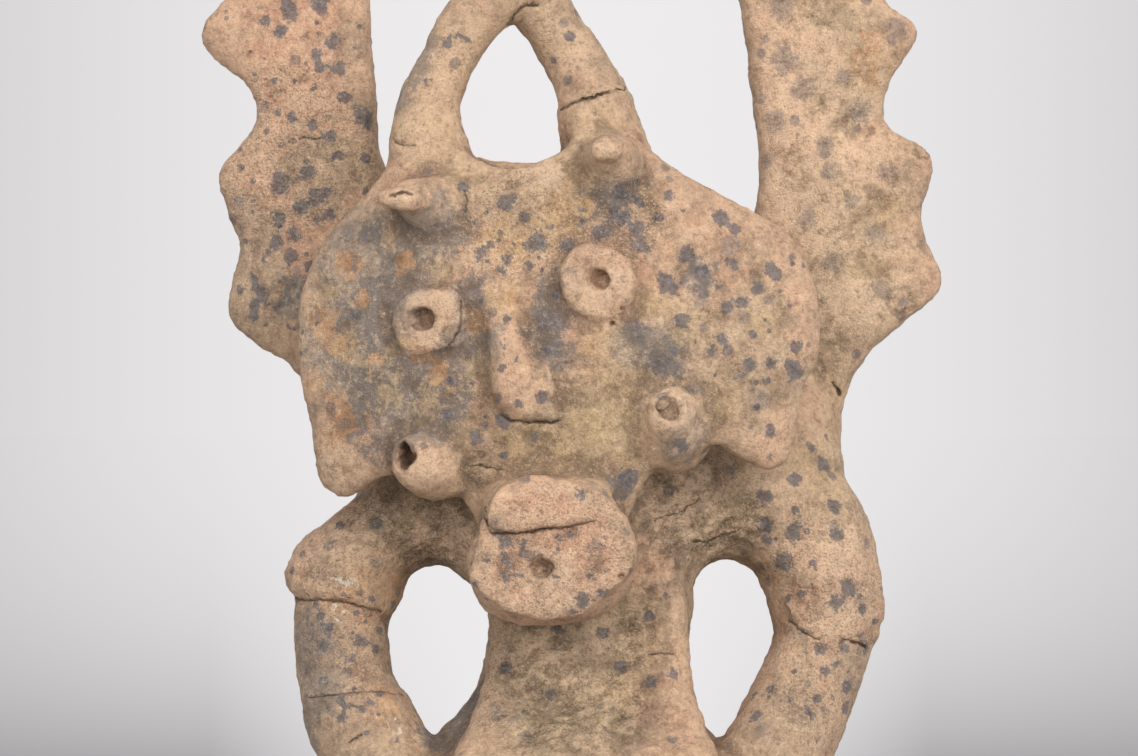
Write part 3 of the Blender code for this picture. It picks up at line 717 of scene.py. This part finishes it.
def grain(size, detail, roughness, place):
    """Even mottling with lumps of a size in metres, about nought to one."""
    return start.node(
        "ShaderNodeTexNoise", {"noise_dimensions": "3D"},
        {"Vector": place, "Scale": 1.0 / size, "Detail": detail, "Roughness": roughness},
    )


def kept(name):
    return start.node("ShaderNodeAttribute", {"attribute_name": name}, output=2)


def shifted(x, y, z):
    """The same place moved aside, so that two mottlings don't match."""
    return start.node("ShaderNodeVectorMath", {"operation": "ADD"}, {0: on_clay, 1: (x, y, z)})


def strewn(per_metre, place, output=0):
    """Points strewn through the clay: how far the nearest one is, or with output 1 its own colour."""
    return start.node(
        "ShaderNodeTexVoronoi", {"feature": "F1"},
        {"Vector": place, "Scale": per_metre, "Randomness": 1.0}, output,
    )


def own_tone(per_metre, place):
    """One even tone for all that is nearest to the same strewn point."""
    return start.node("ShaderNodeSeparateColor", {}, {0: strewn(per_metre, place, 1)})


def patch(name, ripple, low, high):
    """Where a kept tone, its edge broken up by a ripple, passes from a low value to a high one."""
    return (kept(name) + ripple).between(low, high)


broad = grain(0.070, 3.0, 0.55, on_clay)
patchy = grain(0.024, 9.0, 0.68, shifted(3, 1, 2))
mottled = grain(0.010, 8.0, 0.78, shifted(1, 4, 2))
ragged = grain(0.0055, 7.0, 0.82, shifted(6, 3, 9))
fleck = grain(0.0030, 5.0, 0.85, shifted(5, 1, 7))
sand = grain(0.0010, 2.0, 0.7, shifted(2, 8, 1))
dragged = grain(0.0030, 6.0, 0.75, start.node("ShaderNodeMapping", {}, {
    "Vector": on_clay, "Rotation": (0.0, DRAGGED_AT, 0.0), "Scale": (0.28, 1.0, 1.0),
}))

# The buff clay itself, browner and pinker by turns
colour = patchy.between(0.42, 0.58).over(shade(178, 147, 118), shade(202, 170, 138))
colour = (broad + mottled * 0.4).between(0.64, 0.80).over(colour, shade(206, 162, 130))

# Stained regions, soil with painted shadow under overhangs, painted shade in the wide hollows and where less
# light falls, and pale clay with painted highlights and light; then worn edges, which are pale, and painted
# shade in the pits down to the size of grit
smoke = patch("smoke", (ragged - 0.5) * 3.4 + (patchy - 0.5) * 2.4 + 0.12, 0.0, 0.42)
rubbed = (kept("edge_wide") * 0.45 + (mottled - 0.5) * 2.4).between(0.15, 0.95)
# Painted shade in the wide hollows
hollow_shade = (kept("edge_wide") * -0.5 + (mottled - 0.5) * 2.0).between(0.20, 1.20)
worn = (kept("edge_near") * 6.0 + (fleck - 0.5) * 2.4).between(0.30, 1.2)
# Painted shade in the small pits, down to the size of grit
pit_shade = (kept("edge_near") * -6.0 + (fleck - 0.5) * 2.4).between(0.30, 1.2)
for where, strength, stain in (
    (patch("cream", (mottled - 0.45) * 3.5, 0.0, 0.6), 0.50, shade(212, 185, 146)),
    (patch("warm", (mottled - 0.45) * 4.0, 0.0, 0.5), 0.58, shade(226, 170, 138)),
    # Soil, and painted shadow under the overhangs
    (patch("soil_and_shadow", (mottled - 0.45) * 4.0, 0.0, 0.6), 0.38, shade(170, 143, 102)),
    (rubbed, 0.30, shade(224, 178, 144)),
    (hollow_shade, 0.24, shade(150, 122, 90)),
    # Painted shade where less light falls
    (patch("painted_shade", (patchy - 0.5) * 1.5, -0.1, 0.7), 0.62, shade(134, 110, 90)),
    (smoke, fleck * 0.6 + 0.50, shade(114, 109, 107)),
    (patch("rust", (ragged - 0.5) * 6.5 - 0.20, 0.0, 0.28), 0.70, shade(202, 146, 96)),
    (patch("crust", (ragged - 0.5) * 7.0 - 0.25, 0.0, 0.30), 0.50, shade(216, 182, 134)),
    # Pale clay, and painted highlights and light
    (patch("pale", (mottled - 0.5) * 4.0, 0.0, 0.7), 0.58, shade(242, 204, 170)),
    (worn, 0.30, shade(228, 196, 162)),
    (pit_shade, 0.50, shade(104, 80, 58)),
    (mottled.between(0.53, 0.62), 0.26, shade(222, 190, 154)),
    ((1 - mottled).between(0.53, 0.63), 0.28, shade(140, 110, 84)),
    (fleck.between(0.53, 0.62), 0.30, shade(228, 198, 162)),
    ((1 - fleck).between(0.54, 0.63), 0.38, shade(122, 94, 72)),
):
    colour = (where * strength).over(colour, stain)

# Blue-grey mineral spots with ragged edges: the marked ones, chance ones and small dots
SPOTS_A_METRE, DOTS_A_METRE = 75.0, 190.0
ragged_edge = (ragged - 0.5) * 3.6 + (fleck - 0.5) * 1.4
mineral = patch("mineral", ragged_edge, -0.06, 0.14) * (fleck * 0.9 + 0.36)
faint = patch("mineral_faint", ragged_edge * 1.1, -0.05, 0.45)
by_chance = (0.20 - strewn(SPOTS_A_METRE, shifted(7, 7, 7)) + ragged_edge * 0.08).between(0.0, 0.04)
picked = own_tone(SPOTS_A_METRE, shifted(7, 7, 7)).between(0.60, 0.62)
mineral = mineral | (faint * 0.50) | (by_chance * picked * 0.55)
mineral_shade = fleck.between(0.42, 0.60).over(shade(84, 80, 86), shade(124, 118, 118))
few = own_tone(DOTS_A_METRE, shifted(4, 9, 3))
dots = (few * 0.30 - strewn(DOTS_A_METRE, shifted(4, 9, 3)) + ragged_edge * 0.10).between(0.0, 0.06)
dots = dots * few.between(0.55, 0.60) * patch("speckled", (patchy - 0.5) * 3.0, -0.1, 0.3)
for where in (mineral, dots * 0.75):
    colour = where.over(colour, mineral_shade)

# Painted glints of white on the glossy clay, fine sand with each grain its own pale or dark tone, drag marks,
# and open cracks painted dark inside as painted shade
# The white here is painted glints, painted highlights on the glossy clay, which is also less rough
chip = patch("painted_glints", (fleck - 0.5) * 7.0, 0.25, 0.45)
grains = own_tone(1500.0, on_clay)
clear = 1 - (smoke * 0.75 | mineral * 0.70)
gritty = kept("gritty").between(0.0, 0.35)
torn = patch("torn_skin", (mottled - 0.5) * 2.5, 0.0, 0.5)
for where, strength, stain in (
    (chip, 0.75, shade(236, 228, 212)),
    (grains.between(0.70, 0.95) * clear, gritty * 0.26 + 0.18, shade(232, 204, 170)),
    ((1 - grains).between(0.74, 0.96), gritty * 0.22 + 0.20, shade(100, 76, 58)),
    (sand.between(0.56, 0.70) * clear, gritty * 0.30 + 0.18, shade(236, 212, 182)),
    ((1 - dragged).between(0.55, 0.66) * torn, 0.32, shade(98, 77, 54)),
    (dragged.between(0.56, 0.66) * torn, 0.35, shade(222, 192, 152)),
    # Cracks painted dark inside: painted shade
    (kept("cracked").between(0.15, 0.80), 0.60, shade(88, 66, 48)),
):
    colour = (where * strength).over(colour, stain)
depth_of_tone = (mottled - 0.5) * 0.50 + (fleck - 0.5) * 0.9 + (patchy - 0.5) * 0.5 + 0.825
colour = start.node("ShaderNodeHueSaturation", {}, {"Value": depth_of_tone, "Color": colour})
tree.links.new(colour.socket, skin.inputs["Base Color"])
dull = 0.82 - mineral * 0.12 - rubbed * 0.20 - chip * 0.35 + (fleck - 0.5) * 0.5
tree.links.new(dull.socket, skin.inputs["Roughness"])

# Grit, wiping marks and pinholes
pinholes = (0.30 - strewn(330.0, shifted(1, 2, 3))).between(0.0, 0.18)
pinholes = pinholes * (mottled - 0.15).between(0.38, 0.50)
relief = mottled * 0.46 + fleck * 0.72 + sand * 0.36 + grains * 0.10 - pinholes * 0.20 + dragged * torn * 0.75
relief = relief + (sand * 0.35 + grains * 0.14) * gritty
bump = start.node("ShaderNodeBump", {}, {"Strength": 1.0, "Distance": 0.0022, "Height": relief})
tree.links.new(bump.socket, skin.inputs["Normal"])
clay.data.materials.clear()
clay.data.materials.append(fired)

pick(clay)
bpy.ops.object.shade_smooth()
clay.vertex_groups.clear()
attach(clay, "root")
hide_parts("incense_burner")


# The studio: a wide sheet of pale paper that runs out to a pale surround, lit softly from above and
# in front. Far off, the paper glows of itself, so that no line shows where it meets the surround.

GLOW_NEAR, GLOW_ASIDE = shade(238, 236, 237), shade(216, 214, 215)


def aside(tone, off):
    """Nought behind the figure, one well to either side of it."""
    return tone.maths("MINIMUM", off * off * 110, 1.0)


bpy.ops.object.select_all(action="DESELECT")
bpy.ops.mesh.primitive_circle_add(vertices=96, radius=30.0, fill_type="NGON")
floor = bpy.context.object
floor.name = "studio_floor"
paper = bpy.data.materials.new("studio_paper")
paper.use_nodes = True
sheet = Tone(paper.node_tree)
on_floor = sheet.node("ShaderNodeTexCoord", output=3)
apart = sheet.node("ShaderNodeSeparateXYZ", {}, {0: on_floor})
length = Tone(paper.node_tree, apart.socket.node.outputs[1])
ahead = sheet.maths("ABSOLUTE", length - CAMERA_PLACE.y) | 1.0
off = sheet.maths("DIVIDE", sheet.maths("ABSOLUTE", apart), ahead)
depth = sheet.maths("POWER", sheet.maths("ABSOLUTE", length) | 2.0, -1.74)
shadow = sheet.maths("MINIMUM", off * off * 278, 1.0) * depth * 3.6 * length.between(1.8, 2.4)
glow = aside(sheet, off).over(GLOW_NEAR, GLOW_ASIDE)
glow = sheet.maths("MINIMUM", shadow, 1.0).over(glow, shade(140, 138, 140))
far = sheet.node("ShaderNodeVectorMath", {"operation": "LENGTH"}, {0: on_floor}, 1).between(1.2, 2.4)
BLACK = (0.0, 0.0, 0.0, 1.0)
sheet_skin = paper.node_tree.nodes["Principled BSDF"]
paper.node_tree.links.new(far.over(shade(172, 171, 171), BLACK).socket, sheet_skin.inputs["Base Color"])
paper.node_tree.links.new(far.over(BLACK, glow).socket, sheet_skin.inputs["Emission Color"])
sheet_skin.inputs["Emission Strength"].default_value = 1.0
sheet_skin.inputs["Roughness"].default_value = 1.0
sheet_skin.inputs["Specular IOR Level"].default_value = 0.0
floor.data.materials.append(paper)

surround = bpy.data.worlds.new("surround")
bpy.context.scene.world = surround
surround.use_nodes = True
sky = Tone(surround.node_tree)
split = sky.node("ShaderNodeSeparateXYZ", {}, {0: sky.node("ShaderNodeTexCoord")})
height = Tone(surround.node_tree, split.socket.node.outputs[2])
wall = aside(sky, split).over(GLOW_NEAR, GLOW_ASIDE)
dome = sky.maths("ABSOLUTE", height).between(0.15, 0.7).over(wall, shade(120, 120, 122))
surround.node_tree.links.new(dome.socket, surround.node_tree.nodes["Background"].inputs["Color"])


def lamp(name, strength, way, spread):
    """A broad soft light that shines along a way."""
    light = bpy.data.lights.new(name, "SUN")
    light.energy = strength
    light.angle = math.radians(spread)
    made = bpy.data.objects.new(name, light)
    made.rotation_euler = Vector(way).to_track_quat("-Z", "Y").to_euler()
    bpy.context.scene.collection.objects.link(made)


lamp("key", 3.25, (-0.44, 1.0, -0.46), 56)
lamp("fill", 1.3, (0.80, 1.0, -0.22), 60)
lamp("top", 0.8, (-0.1, 0.35, -1.0), 50)
lamp("back", 0.5, (0.2, -1.0, -0.9), 60)
bpy.context.scene.view_settings.view_transform = "Standard"
